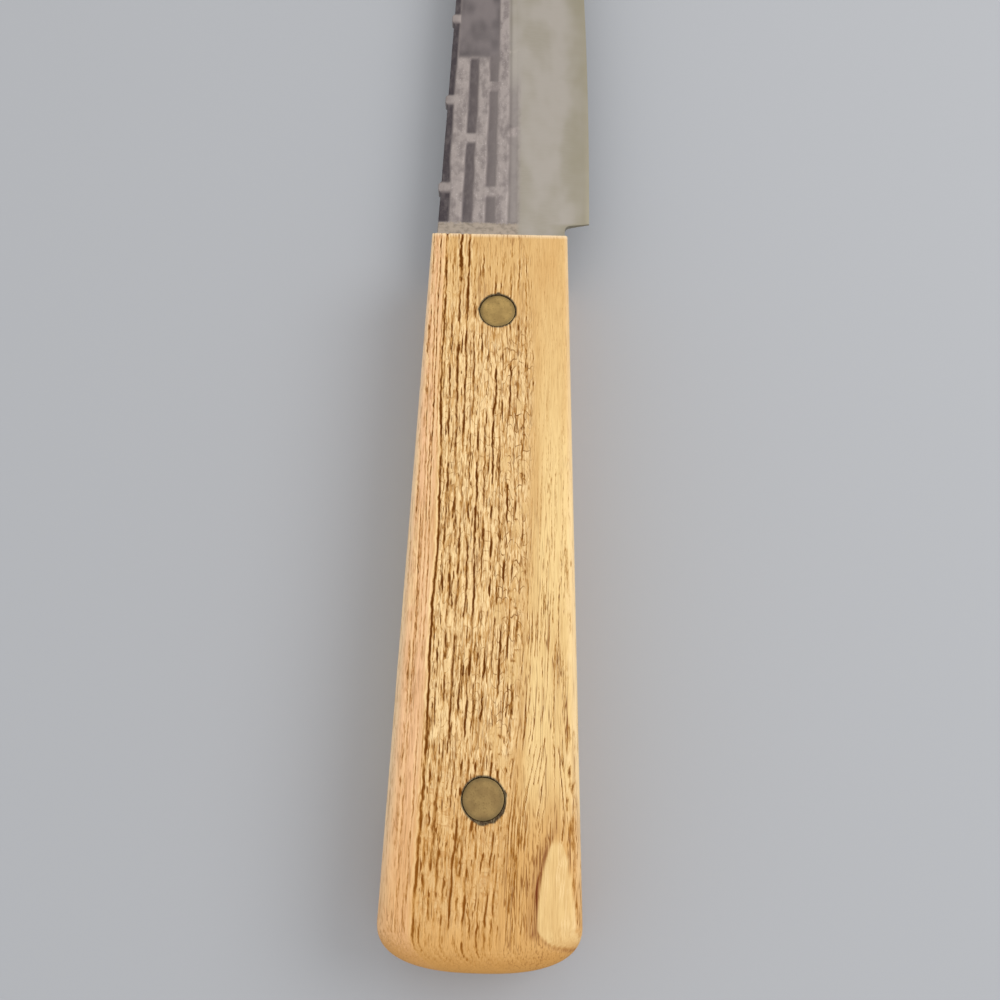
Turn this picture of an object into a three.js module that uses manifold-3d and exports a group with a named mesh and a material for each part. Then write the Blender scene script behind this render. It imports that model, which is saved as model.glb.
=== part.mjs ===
// A slicing knife lying on its side. A forged blade with a full tang is held between two wooden handle
// scales by two brass cutler's rivets, each a pin pressed into a socket.
// Millimetres, +Z up. Y runs along the handle's centre line towards the tip, X from the spine to the edge.
// While the knife is built, Y = 0 is the handle's front end and Z = 0 the middle of the blade's thickness.
import * as THREE from "three";
import { mergeVertices } from "three/addons/utils/BufferGeometryUtils.js";
import Module from "manifold-3d";

const wasm = await Module();
wasm.setup();

// Handle outline
const HANDLE_LENGTH = 124;
const HANDLE_FRONT_WIDTH = 25;
const HANDLE_BUTT_WIDTH = 30.4;
const BUTT_DEPTH = 7; // length over which the two sides close round the butt
const BUTT_SQUARENESS = 2.5; // power of the superellipse that the butt follows

// Handle scales
const SCALE_THICKNESS = 8.8;
const SIDE_ROUND = 2.4; // how far the round-over reaches in from each long side, at the butt
const FRONT_SIDE_ROUND = 0.9; // and at the front end, from where it widens towards the butt
const BUTT_ROUND = 4.6;
const FRONT_ROUND = 0.5;
const ROUND_DEPTH = 3; // how far the round-over reaches down from the flat face
const GLUE_LINE = 0.1; // gap between the tang and each scale

// Blade
const BLADE_LENGTH = 205; // from the handle's front end to the tip
const STOCK_THICKNESS = 2.4;
const TIP_THICKNESS = 1.3; // at the spine, where the taper of the stock ends
const EDGE_THICKNESS = 0.3;
const HEEL_WIDTH = 29.6; // from the spine to the heel's corner
const RICASSO_LENGTH = 8.5; // from the handle's front end to the notch under the heel
const HEEL_RAKE = 0.8; // how far the heel's corner stands ahead of the notch
const NOTCH_RADIUS = 1.2;
const PLUNGE_LENGTH = 3; // the bevel runs out over this length behind the notch
const TIP_DROP = 3; // how far the spine falls towards the edge at the tip
const TIP_DROP_LENGTH = 60;
const HEEL_FLAT_WIDTH = 15.6; // forged flat above the bevel, at the heel
const TIP_FLAT_SHARE = 0.38; // share of the blade's width that stays flat at the tip
const HEEL_HANDLE = new THREE.Vector2(0.5, 61.6); // how the edge sets off from the heel
const TIP_HANDLE = new THREE.Vector2(19.5, -40); // how the edge arrives at the tip

// Forged grooves, laid like bricks in columns along the flat
const GROOVE_COLUMNS = 4;
const GROOVE_WIDTH = 2.1; // at the heel; the columns narrow with the flat
const GROOVE_DEPTH = 0.25;
const GROOVE_PERIOD = 21.6;
const BRIDGE_LENGTH = 2.2; // plain metal left between two grooves of a column
const PATTERN_GAP = 0.1; // plain metal between the notch and the first grooves
const FIRST_BRIDGE = 7.9; // from the start of the pattern to the first bridge of odd columns
const COLUMN_SHIFT = 13.2; // even columns lie this far ahead of odd ones
const PATTERN_TIP_MARGIN = 50; // plain metal left at the tip
const SPINE_BUMP = 0.5; // how far the bridges of the first column stand out of the spine
const PANEL_OFFSET = 41.3; // from the start of the pattern to a plain panel sunk between the columns
const PANEL_LENGTH = 32;
const PANEL_COLUMNS = 3; // the panel reaches from the first of these columns across the last

// Cutler's rivets
const FRONT_RIVET_SETBACK = 16.3; // from the handle's front end
const REAR_RIVET_SETBACK = 24; // from the butt
const RIVET_HEAD_DIAMETER = 6.35;
const RIVET_HEAD_THICKNESS = 1.6;
const RIVET_HEAD_BEVEL = 0.2;
const RIVET_HEAD_SINK = 0.1; // how far each head lies below the scale's face
const SOCKET_DIAMETER = 4.6;
const SOCKET_FLOOR = 1.4; // brass left under the socket's bore, from the head's outer face
const SOCKET_MOUTH_GAP = 3; // from the socket's mouth to the pin's head
const PIN_DIAMETER = 3;
const PIN_END_GAP = 1; // from the pin's end to the bottom of the bore
const HEAD_CLEARANCE = 0.25; // round each head, in its counterbore
const SEAT_GAP = 0.05; // under each head
const STEM_CLEARANCE = 0.1; // round the socket, in the scales and the tang
const PIN_CLEARANCE = 0.05; // round the pin, in the socket

// Facets
const ROUND_SEGMENTS = 32;
const BUTT_STEPS = 24;
const ROUND_STEPS = 5;
const EDGE_STEPS = 30;
const SPINE_STEPS = 8;

// Derived sizes
const HALF_STOCK = STOCK_THICKNESS / 2;
const SCALE_INNER = HALF_STOCK + GLUE_LINE;
const SCALE_OUTER = SCALE_INNER + SCALE_THICKNESS;
const HEAD_OUTER = SCALE_OUTER - RIVET_HEAD_SINK;
const HEAD_INNER = HEAD_OUTER - RIVET_HEAD_THICKNESS;
const HEEL_Y = RICASSO_LENGTH + HEEL_RAKE;
const PATTERN_START = RICASSO_LENGTH + PATTERN_GAP;
const PATTERN_END = BLADE_LENGTH - PATTERN_TIP_MARGIN;
const CUT_MARGIN = STOCK_THICKNESS; // cutters stand this far proud of what they cut
const ENVELOPE_REACH = 2 * Math.max(HEEL_WIDTH, HANDLE_BUTT_WIDTH); // wider than any part of the blank

const RIVETS = [
  { name: "front_rivet", y: -FRONT_RIVET_SETBACK },
  { name: "rear_rivet", y: -HANDLE_LENGTH + REAR_RIVET_SETBACK },
];

// Solids for cutting and joining
function solidOf(geometry) {
  const bare = geometry.clone();
  bare.deleteAttribute("normal");
  bare.deleteAttribute("uv");
  const merged = mergeVertices(bare);
  const corners = merged.index.array;
  const triVerts = [];
  for (let i = 0; i < corners.length; i += 3) {
    const [a, b, c] = corners.slice(i, i + 3);
    if (a !== b && b !== c && c !== a) triVerts.push(a, b, c);
  }
  return new wasm.Manifold(new wasm.Mesh({
    numProp: 3,
    vertProperties: new Float32Array(merged.attributes.position.array),
    triVerts: new Uint32Array(triVerts),
  }));
}

function geometryOf(solid) {
  const { vertProperties, triVerts } = solid.getMesh();
  const indexed = new THREE.BufferGeometry();
  indexed.setAttribute("position", new THREE.BufferAttribute(vertProperties, 3));
  indexed.setIndex(new THREE.BufferAttribute(triVerts, 1));
  const faceted = indexed.toNonIndexed();
  faceted.computeVertexNormals();
  return faceted;
}

function cutAll(solid, cutters) {
  return cutters.reduce((rest, cutter) => rest.subtract(solidOf(cutter)), solid);
}

// Closed skin over a row of outlines with equal point counts. Each outline runs counter-clockwise as seen
// from the loft's far end, and toPoint places a point (u, v) of the outline at its station.
function loft(sections, toPoint) {
  const count = sections[0].outline.length;
  const positions = sections.flatMap(({ station, outline }) =>
    outline.flatMap(({ x, y }) => toPoint(x, y, station).toArray()));
  const last = (sections.length - 1) * count;
  const index = [];
  for (let ring = 0; ring < last; ring += count) {
    for (let i = 0; i < count; i += 1) {
      const j = (i + 1) % count;
      index.push(ring + i, ring + j, ring + count + j);
      index.push(ring + i, ring + count + j, ring + count + i);
    }
  }
  for (const [a, b, c] of THREE.ShapeUtils.triangulateShape(sections[0].outline, [])) index.push(a, c, b);
  for (const [a, b, c] of THREE.ShapeUtils.triangulateShape(sections.at(-1).outline, [])) {
    index.push(last + a, last + b, last + c);
  }
  const geometry = new THREE.BufferGeometry();
  geometry.setAttribute("position", new THREE.Float32BufferAttribute(positions, 3));
  geometry.setIndex(index);
  return geometry;
}

function extruded(points, low, high) {
  const settings = { depth: high - low, bevelEnabled: false };
  return new THREE.ExtrudeGeometry(new THREE.Shape(points), settings).translate(0, 0, low);
}

// Round cutter or post standing along Z
function roundBar(diameter, y, low, high) {
  const bar = new THREE.CylinderGeometry(diameter / 2, diameter / 2, high - low, ROUND_SEGMENTS);
  return bar.rotateX(Math.PI / 2).translate(0, y, (low + high) / 2);
}

// Handle outline and blade outline
// Half the handle's width: its straight taper also leads the blade's spine forward of the handle
function halfWidth(y) {
  const share = -y / HANDLE_LENGTH;
  return THREE.MathUtils.lerp(HANDLE_FRONT_WIDTH, HANDLE_BUTT_WIDTH, share) / 2;
}

// From the spine side's front corner, back round the butt, to the edge side's front corner, drawn in by a
// share of each round-over
function handleOutline(drawnIn) {
  const front = -FRONT_ROUND * drawnIn;
  const rear = -HANDLE_LENGTH + BUTT_ROUND * drawnIn;
  const frontHalfWidth = halfWidth(front) - FRONT_SIDE_ROUND * drawnIn;
  const points = [new THREE.Vector2(-frontHalfWidth, front)];
  for (let i = 0; i <= BUTT_STEPS; i += 1) {
    const angle = (Math.PI * i) / BUTT_STEPS;
    const across = Math.abs(Math.cos(angle)) ** (2 / BUTT_SQUARENESS) * Math.sign(Math.cos(angle));
    const along = Math.sin(angle) ** (2 / BUTT_SQUARENESS);
    const y = rear + BUTT_DEPTH * (1 - along);
    points.push(new THREE.Vector2(-across * (halfWidth(y) - SIDE_ROUND * drawnIn), y));
  }
  points.push(new THREE.Vector2(frontHalfWidth, front));
  return points;
}

function spineX(y) {
  const fall = Math.max(0, (y - BLADE_LENGTH) / TIP_DROP_LENGTH + 1);
  return -halfWidth(y) + TIP_DROP * fall ** 2;
}

function edgePoints() {
  const heel = new THREE.Vector2(spineX(HEEL_Y) + HEEL_WIDTH, HEEL_Y);
  const tip = new THREE.Vector2(spineX(BLADE_LENGTH), BLADE_LENGTH);
  const leaving = heel.clone().add(HEEL_HANDLE);
  const arriving = tip.clone().add(TIP_HANDLE);
  return new THREE.CubicBezierCurve(heel, leaving, arriving, tip).getPoints(EDGE_STEPS);
}

const EDGE = edgePoints();

function edgeX(y) {
  const next = EDGE.findIndex((point) => point.y >= y);
  if (next <= 0) return EDGE[0].x;
  const [from, to] = [EDGE[next - 1], EDGE[next]];
  return THREE.MathUtils.mapLinear(y, from.y, to.y, from.x, to.x);
}

// Width of the forged flat between the spine and the bevel
function flatWidth(y) {
  const heelShare = HEEL_FLAT_WIDTH / HEEL_WIDTH;
  const share = THREE.MathUtils.mapLinear(y, HEEL_Y, BLADE_LENGTH, heelShare, TIP_FLAT_SHARE);
  return share * (edgeX(y) - spineX(y));
}

function halfThickness(y) {
  const share = THREE.MathUtils.clamp(y / BLADE_LENGTH, 0, 1);
  return THREE.MathUtils.lerp(STOCK_THICKNESS, TIP_THICKNESS, share) / 2;
}

// Middles of the plain bridges that break a column of grooves
function bridges(column) {
  const middles = [];
  const first = PATTERN_START + FIRST_BRIDGE + (column % 2) * COLUMN_SHIFT;
  for (let y = first; y < PATTERN_END; y += GROOVE_PERIOD) middles.push(y);
  return middles;
}

// The spine from the tip back to the handle, with a low bump at each bridge of the first column
function spinePoints() {
  const points = [];
  const add = (y, bump) => points.push(new THREE.Vector2(spineX(y) - bump, y));
  for (let i = 1; i <= SPINE_STEPS; i += 1) add(BLADE_LENGTH - (TIP_DROP_LENGTH * i) / SPINE_STEPS, 0);
  for (const middle of bridges(0)) {
    for (const side of [-1, 1]) {
      add(middle + (side * BRIDGE_LENGTH) / 2, 0);
      add(middle + side * (BRIDGE_LENGTH / 2 - SPINE_BUMP), SPINE_BUMP);
    }
  }
  return points.sort((a, b) => b.y - a.y);
}

// Blade and tang, cut from one blank
function blankOutline() {
  const notch = new THREE.Vector2(halfWidth(0), RICASSO_LENGTH);
  const beforeNotch = new THREE.Vector2(notch.x, RICASSO_LENGTH - NOTCH_RADIUS);
  const afterNotch = EDGE[0].clone().sub(notch).setLength(NOTCH_RADIUS).add(notch);
  const fillet = new THREE.QuadraticBezierCurve(beforeNotch, notch, afterNotch);
  const tang = handleOutline(0);
  return [...tang, ...fillet.getPoints(SPINE_STEPS), ...EDGE, ...spinePoints()];
}

// Thickness of the ground blade: full in the tang, tapering to the tip, and wedged from the flat to the edge
function grindEnvelope() {
  const section = (y, station, half, edgeHalf) => {
    const grindX = spineX(y) + flatWidth(y);
    const bevelX = Math.max(edgeX(y), grindX + EDGE_THICKNESS);
    const upper = [[half, -ENVELOPE_REACH], [half, grindX], [edgeHalf, bevelX], [edgeHalf, ENVELOPE_REACH]];
    const lower = upper.map(([z, x]) => [-z, x]).reverse();
    return { station, outline: [...lower, ...upper].map(([z, x]) => new THREE.Vector2(z, x)) };
  };
  const edgeHalf = EDGE_THICKNESS / 2;
  const plungeEnd = RICASSO_LENGTH - NOTCH_RADIUS;
  const plungeStart = plungeEnd - PLUNGE_LENGTH;
  const sections = [
    section(HEEL_Y, -HANDLE_LENGTH - CUT_MARGIN, HALF_STOCK, HALF_STOCK),
    section(HEEL_Y, plungeStart, HALF_STOCK, HALF_STOCK),
    section(HEEL_Y, plungeEnd, halfThickness(plungeEnd), edgeHalf),
    ...EDGE.map(({ y }) => section(y, y, halfThickness(y), edgeHalf)),
    section(BLADE_LENGTH, BLADE_LENGTH + CUT_MARGIN, TIP_THICKNESS / 2, edgeHalf),
  ];
  return loft(sections, (z, x, y) => new THREE.Vector3(x, y, z));
}

// Start and end of each groove of a column
function grooveSpans(column) {
  const half = BRIDGE_LENGTH / 2;
  const starts = [PATTERN_START, ...bridges(column).map((middle) => middle + half)];
  const ends = [...bridges(column).map((middle) => middle - half), PATTERN_END];
  return starts.map((start, i) => [start, ends[i]]).filter(([start, end]) => end - start > GROOVE_WIDTH);
}

// Sides of a column at one place along the blade
function columnSides(column, y) {
  const width = (GROOVE_WIDTH * flatWidth(y)) / HEEL_FLAT_WIDTH;
  const pitch = (flatWidth(y) - width) / (GROOVE_COLUMNS - 1);
  const inner = spineX(y) + column * pitch;
  const overSpine = column === 0 ? CUT_MARGIN : 0;
  return [inner - overSpine, inner + width];
}

function quad(y0, sides0, y1, sides1) {
  return [[sides0[0], y0], [sides0[1], y0], [sides1[1], y1], [sides1[0], y1]]
    .map(([x, y]) => new THREE.Vector2(x, y));
}

// The same sunk outline cut into both faces
function sunkIn(outline, y) {
  const floor = halfThickness(y) - GROOVE_DEPTH;
  return [extruded(outline, floor, floor + CUT_MARGIN), extruded(outline, -floor - CUT_MARGIN, -floor)];
}

function panelCutters() {
  const start = PATTERN_START + PANEL_OFFSET;
  const end = start + PANEL_LENGTH;
  const sides = (y) => [columnSides(0, y)[1], columnSides(PANEL_COLUMNS - 1, y)[1]];
  return sunkIn(quad(start, sides(start), end, sides(end)), (start + end) / 2);
}

function grooveCutters() {
  const cutters = [];
  for (let column = 0; column < GROOVE_COLUMNS; column += 1) {
    for (const [start, end] of grooveSpans(column)) {
      const outline = quad(start, columnSides(column, start), end, columnSides(column, end));
      cutters.push(...sunkIn(outline, (start + end) / 2));
    }
  }
  return cutters;
}

const stemHoleDiameter = SOCKET_DIAMETER + 2 * STEM_CLEARANCE;

function bladeGeometry() {
  const blank = solidOf(extruded(blankOutline(), -HALF_STOCK, HALF_STOCK));
  const ground = blank.intersect(solidOf(grindEnvelope()));
  const holes = RIVETS.map(({ y }) => roundBar(stemHoleDiameter, y, -CUT_MARGIN, CUT_MARGIN));
  return geometryOf(cutAll(ground, [...grooveCutters(), ...panelCutters(), ...holes]));
}

// Scale for the +Z side, with its long edges and butt rounded over and the rivets' holes bored
function upperScaleSolid() {
  const sections = [{ station: SCALE_INNER, outline: handleOutline(0) }];
  for (let i = 0; i <= ROUND_STEPS; i += 1) {
    const angle = (Math.PI / 2) * (i / ROUND_STEPS);
    const station = SCALE_OUTER - ROUND_DEPTH * (1 - Math.sin(angle));
    sections.push({ station, outline: handleOutline(1 - Math.cos(angle)) });
  }
  const body = solidOf(loft(sections, (x, y, z) => new THREE.Vector3(x, y, z)));
  const counterbore = RIVET_HEAD_DIAMETER + 2 * HEAD_CLEARANCE;
  const bores = RIVETS.flatMap(({ y }) => [
    roundBar(stemHoleDiameter, y, 0, SCALE_OUTER + CUT_MARGIN),
    roundBar(counterbore, y, HEAD_INNER - SEAT_GAP, SCALE_OUTER + CUT_MARGIN),
  ]);
  return cutAll(body, bores);
}

// Rivet halves, turned about Z: each profile lists radius and height from the axis round to the axis
function turned(profile) {
  const points = profile.map(([radius, height]) => new THREE.Vector2(radius, height));
  return new THREE.LatheGeometry(points, ROUND_SEGMENTS).rotateX(Math.PI / 2);
}

const headRadius = RIVET_HEAD_DIAMETER / 2;

function socketGeometry() {
  const bore = PIN_DIAMETER / 2 + PIN_CLEARANCE;
  const mouth = HEAD_INNER - SOCKET_MOUTH_GAP;
  return turned([
    [0, -HEAD_OUTER],
    [headRadius - RIVET_HEAD_BEVEL, -HEAD_OUTER],
    [headRadius, -HEAD_OUTER + RIVET_HEAD_BEVEL],
    [headRadius, -HEAD_INNER],
    [SOCKET_DIAMETER / 2, -HEAD_INNER],
    [SOCKET_DIAMETER / 2, mouth],
    [bore, mouth],
    [bore, -HEAD_OUTER + SOCKET_FLOOR],
    [0, -HEAD_OUTER + SOCKET_FLOOR],
  ]);
}

function pinGeometry() {
  const end = -HEAD_OUTER + SOCKET_FLOOR + PIN_END_GAP;
  return turned([
    [0, end],
    [PIN_DIAMETER / 2 - RIVET_HEAD_BEVEL, end],
    [PIN_DIAMETER / 2, end + RIVET_HEAD_BEVEL],
    [PIN_DIAMETER / 2, HEAD_INNER],
    [headRadius, HEAD_INNER],
    [headRadius, HEAD_OUTER - RIVET_HEAD_BEVEL],
    [headRadius - RIVET_HEAD_BEVEL, HEAD_OUTER],
    [0, HEAD_OUTER],
  ]);
}

// Assembly
const steel = new THREE.MeshStandardMaterial({ color: 0xa09690, roughness: 0.45, metalness: 1 });
const wood = new THREE.MeshStandardMaterial({ color: 0xdcaf73, roughness: 0.6, metalness: 0 });
const brass = new THREE.MeshStandardMaterial({ color: 0xac8e58, roughness: 0.35, metalness: 1 });

const knife = new THREE.Group();

function addPiece(name, geometry, material) {
  const mesh = new THREE.Mesh(geometry, material.clone());
  mesh.name = name;
  knife.add(mesh);
  return mesh;
}

addPiece("blade", bladeGeometry(), steel);
const rightScale = geometryOf(upperScaleSolid());
addPiece("right_scale", rightScale, wood);
addPiece("left_scale", rightScale, wood).rotation.y = Math.PI;
for (const { name, y } of RIVETS) {
  addPiece(`${name}_socket`, socketGeometry(), brass).position.y = y;
  addPiece(`${name}_pin`, pinGeometry(), brass).position.y = y;
}

// The knife rests on its left scale, centred over the origin
const box = new THREE.Box3().setFromObject(knife, true);
const centre = box.getCenter(new THREE.Vector3());
knife.position.set(-centre.x, -centre.y, -box.min.z);

export default knife;
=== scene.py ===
import math
from contextlib import contextmanager

import bmesh
import bpy
import numpy as np
from mathutils import Euler, Matrix, Vector


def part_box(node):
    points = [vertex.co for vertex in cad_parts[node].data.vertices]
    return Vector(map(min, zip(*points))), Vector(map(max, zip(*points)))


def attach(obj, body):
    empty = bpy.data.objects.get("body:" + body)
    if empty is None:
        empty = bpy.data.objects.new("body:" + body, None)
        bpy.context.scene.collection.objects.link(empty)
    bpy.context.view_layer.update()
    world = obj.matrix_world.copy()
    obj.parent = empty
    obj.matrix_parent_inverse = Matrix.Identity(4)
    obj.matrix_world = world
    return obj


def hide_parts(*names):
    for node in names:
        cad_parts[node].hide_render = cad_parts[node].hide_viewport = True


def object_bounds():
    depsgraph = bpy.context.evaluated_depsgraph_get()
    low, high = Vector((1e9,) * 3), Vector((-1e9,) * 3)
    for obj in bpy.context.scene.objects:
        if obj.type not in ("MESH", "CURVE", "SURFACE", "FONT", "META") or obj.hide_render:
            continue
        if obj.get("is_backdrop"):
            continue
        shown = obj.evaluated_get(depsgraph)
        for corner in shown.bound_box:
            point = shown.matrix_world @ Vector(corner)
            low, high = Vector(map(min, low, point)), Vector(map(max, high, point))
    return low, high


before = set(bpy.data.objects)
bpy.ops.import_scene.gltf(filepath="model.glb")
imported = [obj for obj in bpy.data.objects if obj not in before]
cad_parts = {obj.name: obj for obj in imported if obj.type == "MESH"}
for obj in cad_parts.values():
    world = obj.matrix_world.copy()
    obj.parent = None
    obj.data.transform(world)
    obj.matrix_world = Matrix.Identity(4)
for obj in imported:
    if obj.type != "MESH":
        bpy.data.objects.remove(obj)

CAD_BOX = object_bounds()
MM = 0.001


def box_mm(node):
    return [np.array(corner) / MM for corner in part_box(node)]


# Sizes that the frame gives
SCALE_LOW, SCALE_HIGH = box_mm("right_scale")
BLADE_LOW, BLADE_HIGH = box_mm("blade")
PIN_LOW, PIN_HIGH = box_mm("front_rivet_pin")
ORIGIN = np.array([
    (SCALE_LOW[0] + SCALE_HIGH[0]) / 2,
    SCALE_HIGH[1],
    (BLADE_LOW[2] + BLADE_HIGH[2]) / 2,
])
HANDLE_LENGTH = SCALE_HIGH[1] - SCALE_LOW[1]
SCALE_INNER = SCALE_LOW[2] - ORIGIN[2]
SCALE_OUTER = SCALE_HIGH[2] - ORIGIN[2]
BLADE_LENGTH = BLADE_HIGH[1] - ORIGIN[1]
HALF_STOCK = (BLADE_HIGH[2] - BLADE_LOW[2]) / 2
HEAD_RADIUS = (PIN_HIGH[0] - PIN_LOW[0]) / 2
HEAD_OUTER = PIN_HIGH[2] - ORIGIN[2]
PIN_END = PIN_LOW[2] - ORIGIN[2]
SOCKET_MOUTH = box_mm("front_rivet_socket")[1][2] - ORIGIN[2]
RIVETS = ("front_rivet", "rear_rivet")

# Handle sizes
HANDLE_FRONT_WIDTH = 25
HANDLE_BUTT_WIDTH = 30.4
BUTT_DEPTH = 7
BUTT_SQUARENESS = 2.5
FRONT_SIDE_ROUND = 0.9  # the sides' round-over at the front, from where it grows to the butt
SIDE_ROUND = 2.4
BUTT_ROUND = 4.6
FRONT_ROUND = 0.5
ROUND_DEPTH = 3

# Rivet sizes
HEAD_THICKNESS = 1.6
SEAT_GAP = 0.05
SOCKET_RADIUS = 2.3
SOCKET_FLOOR = 1.4
STEM_RADIUS = 2.4
PIN_RADIUS = 1.5
PIN_CLEARANCE = 0.05
HEAD_DOME = 0.08
HEAD_EASE = 0.16

# Blade sizes
TIP_THICKNESS = 1.3
EDGE_THICKNESS = 0.3
HEEL_WIDTH = 29.6
RICASSO_LENGTH = 8.5
HEEL_RAKE = 0.8
HEEL_Y = RICASSO_LENGTH + HEEL_RAKE
NOTCH_RADIUS = 1.2
PLUNGE_LENGTH = 3
TIP_DROP = 3
TIP_DROP_LENGTH = 60
HEEL_FLAT_WIDTH = 15.6
TIP_FLAT_SHARE = 0.38
HEEL_HANDLE = (0.5, 61.6)  # how the edge's curve leaves the heel, and comes in to the tip
TIP_HANDLE = (19.5, -40)
EDGE_STEPS = 300
NOTCH_STEPS = 12

# Forged pattern
GROOVE_COLUMNS = 4
GROOVE_WIDTH = 2.1
GROOVE_DEPTH = 0.25
GROOVE_PERIODS = (21.6, 21.6, 26.2, 21.6)  # one for each column
FIRST_BRIDGES = (8.2, 20.3, 7.4, 22.2)  # from the pattern's start
BRIDGE_LENGTH = 2.2
PATTERN_START = RICASSO_LENGTH + 0.1
PATTERN_END = BLADE_LENGTH - 50
SPINE_BUMP = 0.5
PANEL_OFFSET = 41.3
PANEL_LENGTH = 32
PANEL_COLUMNS = 3
PANEL_SOFT = 1.1
FIRST_COLUMN_TAPER = 0.55  # how much narrower the first column gets away from the handle
FIRST_TAPER_END = 25
LAST_COLUMN_FADE = (38, 48)  # over this stretch the last column's floor turns to ground steel


# Small helpers
def place(points):
    """Knife millimetres to metres in the frame."""
    return (np.asarray(points) + ORIGIN) * MM


def blend(low, high, share):
    return low + (high - low) * share


def smooth(low, high, value):
    """Soft step from 0 at low to 1 at high."""
    share = np.clip((value - low) / (high - low), 0, 1)
    return share * share * (3 - 2 * share)


def between(low, high, value, soft):
    return smooth(-soft, soft, value - low) * smooth(-soft, soft, high - value)


def hump(offset, width):
    return np.exp(-((offset / width) ** 2))


NOISE_TABLE = 256


def noise(seed, x, y, cell):
    """Smooth noise from 0 to 1 at points x, y, with features about cell = (across, along) in size."""
    table = np.random.default_rng(seed).random((NOISE_TABLE, NOISE_TABLE))
    u = np.asarray(x) / cell[0]
    v = np.asarray(y) / cell[1]
    column = np.floor(u).astype(int)
    row = np.floor(v).astype(int)
    across = smooth(0, 1, u - column)
    along = smooth(0, 1, v - row)

    def corner(i, j):
        return table[(column + i) % NOISE_TABLE, (row + j) % NOISE_TABLE]

    near = blend(corner(0, 0), corner(1, 0), across)
    far = blend(corner(0, 1), corner(1, 1), across)
    return blend(near, far, along)


def waver(seed, y, length, track=0):
    """Noise from 0 to 1 along y alone, with features of a length. A seed has many tracks."""
    return noise(seed, track + 0.5, y, (1, length))


def rivet_y(name):
    low, high = box_mm(f"{name}_pin")
    return (low[1] + high[1]) / 2 - ORIGIN[1]


def add_object(name, data):
    """Puts a mesh, light or camera in the scene."""
    made = bpy.data.objects.new(name, data)
    bpy.context.scene.collection.objects.link(made)
    return made


# Outlines
def half_width(y):
    """Half the handle's width, which also leads the spine forward of the handle."""
    return blend(HANDLE_FRONT_WIDTH, HANDLE_BUTT_WIDTH, -y / HANDLE_LENGTH) / 2


def side_round(y):
    return blend(FRONT_SIDE_ROUND, SIDE_ROUND, np.clip(-y / (HANDLE_LENGTH - BUTT_DEPTH), 0, 1))


def butt_share(y):
    """Share of the handle's half width that is left where the butt closes."""
    depth = np.clip((BUTT_DEPTH - HANDLE_LENGTH - y) / BUTT_DEPTH, 0, 1)
    return (1 - depth ** BUTT_SQUARENESS) ** (1 / BUTT_SQUARENESS)


def spine_x(y):
    fall = np.maximum(0, (y - BLADE_LENGTH) / TIP_DROP_LENGTH + 1)
    return -half_width(y) + TIP_DROP * fall ** 2


def bezier(points, steps):
    """Points along a Bezier curve of any degree."""
    points = np.array(points, float)
    degree = len(points) - 1
    t = np.linspace(0, 1, steps)[:, None]
    return sum(
        math.comb(degree, i) * t ** i * (1 - t) ** (degree - i) * point
        for i, point in enumerate(points)
    )


HEEL = np.array([spine_x(HEEL_Y) + HEEL_WIDTH, HEEL_Y])
TIP = np.array([spine_x(BLADE_LENGTH), BLADE_LENGTH])
EDGE_CURVE = bezier([HEEL, HEEL + HEEL_HANDLE, TIP + TIP_HANDLE, TIP], EDGE_STEPS)


def heel_curve():
    """Edge side from the handle's front, round the notch and out to the heel's corner."""
    notch = np.array([half_width(0), RICASSO_LENGTH])
    out = (HEEL - notch) / np.linalg.norm(HEEL - notch)
    fillet = bezier([notch - [0, NOTCH_RADIUS], notch, notch + NOTCH_RADIUS * out], NOTCH_STEPS)
    return np.vstack([[[half_width(0), 0]], fillet, [HEEL]])


HEEL_CURVE = heel_curve()


def edge_x(y):
    return np.interp(y, EDGE_CURVE[:, 1], EDGE_CURVE[:, 0])


def flat_width(y):
    y = np.maximum(y, HEEL_Y)
    along = (y - HEEL_Y) / (BLADE_LENGTH - HEEL_Y)
    share = blend(HEEL_FLAT_WIDTH / HEEL_WIDTH, TIP_FLAT_SHARE, along)
    return share * (edge_x(y) - spine_x(y))


def half_thickness(y):
    return blend(HALF_STOCK, TIP_THICKNESS / 2, np.clip(y / BLADE_LENGTH, 0, 1))


# Wood figure: maps over one scale, seen from outside, of its growth lines, zones and relief
GRAIN_STEP_X = 0.05
GRAIN_STEP_Y = 0.1
GRAIN_REACH = 17
GRAIN_MARGIN = 2
GRAIN_X = np.arange(-GRAIN_REACH, GRAIN_REACH, GRAIN_STEP_X)
GRAIN_Y = np.arange(-HANDLE_LENGTH - GRAIN_MARGIN, GRAIN_MARGIN, GRAIN_STEP_Y)
LAST_CELL = 1.001  # keeps a sample inside the map's last cell
PORE_DEPTH = 0.2
TUFT_DEPTH = 0.12
TUFT_CELL = (0.5, 2.5)
GRIT_DEPTH = 0.04
GRIT_CELL = (0.25, 0.7)
PLATE_COUNT = 18
PLATE_RANGE = (-98, -34)
BUTT_SLANT = 2.4  # the growth layers lean: sideways shift for each mm cut away at the butt
ROUGH_START = -14.8  # where the rough strip sets in at the handle's middle
ROUGH_SLANT = 0.6  # how much further back it does so for each mm towards the edge
ROUGH_FADE = (7, -12)  # the stretch that this takes, from its start

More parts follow.
